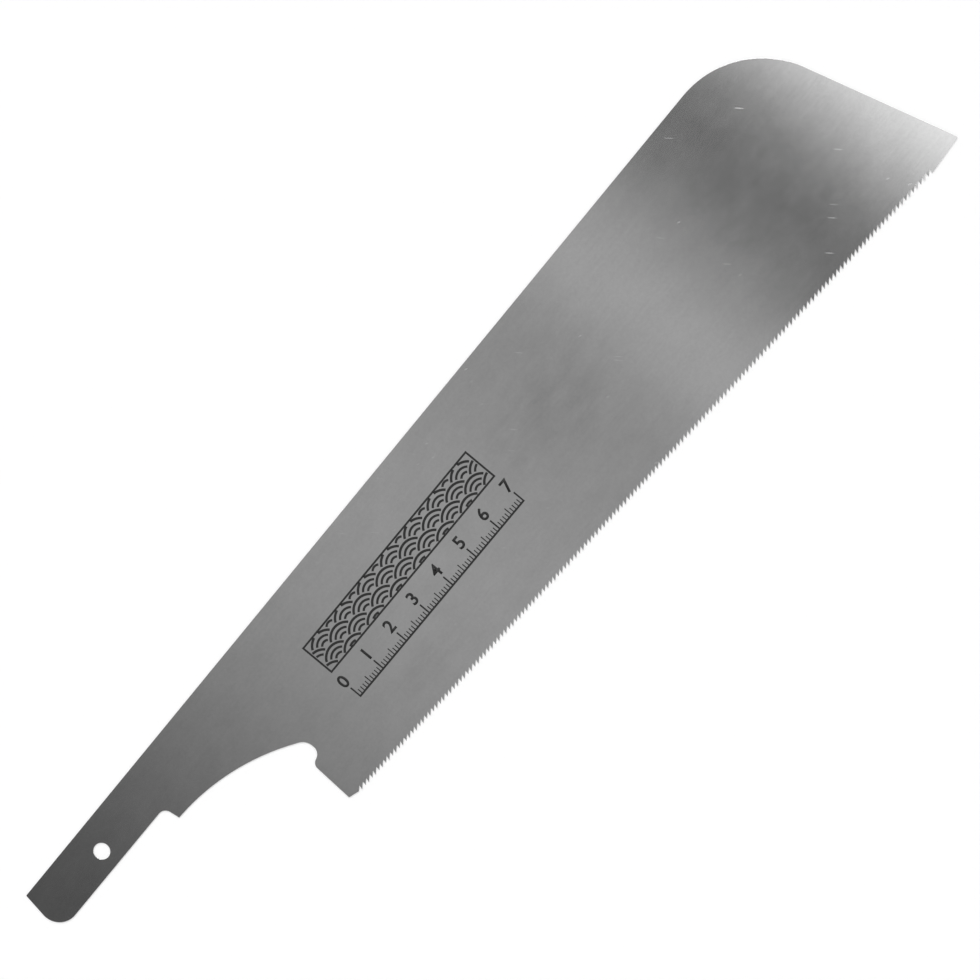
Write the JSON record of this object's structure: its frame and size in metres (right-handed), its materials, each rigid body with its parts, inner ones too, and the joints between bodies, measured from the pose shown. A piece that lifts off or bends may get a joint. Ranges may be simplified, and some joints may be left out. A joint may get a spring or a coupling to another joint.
{
  "type": "back saw blade",
  "caption": "Flat replacement blade of a Japanese pull-stroke back saw, with fine crosscut teeth, a relieved heel and a narrow tang with one hole.",
  "frame": {"origin": "on the axis of the tang hole, in the plane of the lower face", "axes": "+X along the back edge towards the toe, +Y towards the back edge, +Z out of the upper face, which is the printed face"},
  "size_m": [0.3219, 0.0628, 0.0005],
  "materials": {
    "blade_steel": "fine brushed, along and across the blade, lightly smudged"
  },
  "bodies": {
    "root": {"saw_blade": "blade_steel"}
  },
  "joints": []
}
